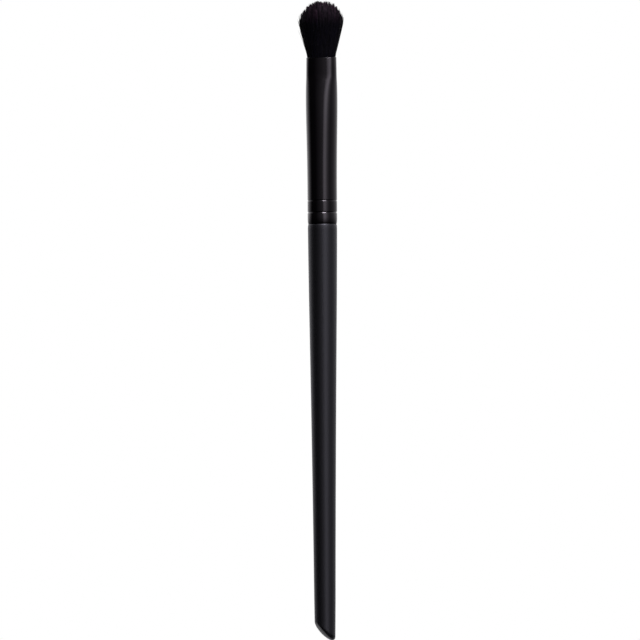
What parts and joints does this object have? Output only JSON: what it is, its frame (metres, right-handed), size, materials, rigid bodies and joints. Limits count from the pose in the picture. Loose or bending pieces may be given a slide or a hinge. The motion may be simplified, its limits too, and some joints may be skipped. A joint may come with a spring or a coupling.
{
  "type": "eyeshadow brush",
  "caption": "Slim black makeup brush: a domed hair tuft in a crimped, oval-mouthed metal ferrule on a tapering wooden handle with a slanted tail, for blending eyeshadow.",
  "frame": {"origin": "on the brush's axis, in the plane where the lower edge of the ferrule sits on the handle's shoulder", "axes": "+Z along the axis from the handle's tail to the tip of the hair; the broad cheeks of the oval mouth face -Y (front) and +Y (back), so the mouth's long way is along X"},
  "size_m": [0.0122, 0.0084, 0.1806],
  "materials": {
    "lacquered_wood": "matte",
    "black_ferrule": "gloss",
    "black_hair": "matte",
    "tie_thread": "matte",
    "set_glue": "gloss"
  },
  "bodies": {
    "root": {"handle": "lacquered_wood", "ferrule": "black_ferrule", "bristle_tuft": "black_hair", "tuft_tie_thread": "tie_thread", "tuft_glue_plug": "set_glue", "spigot_glue_film": "set_glue"}
  },
  "joints": []
}
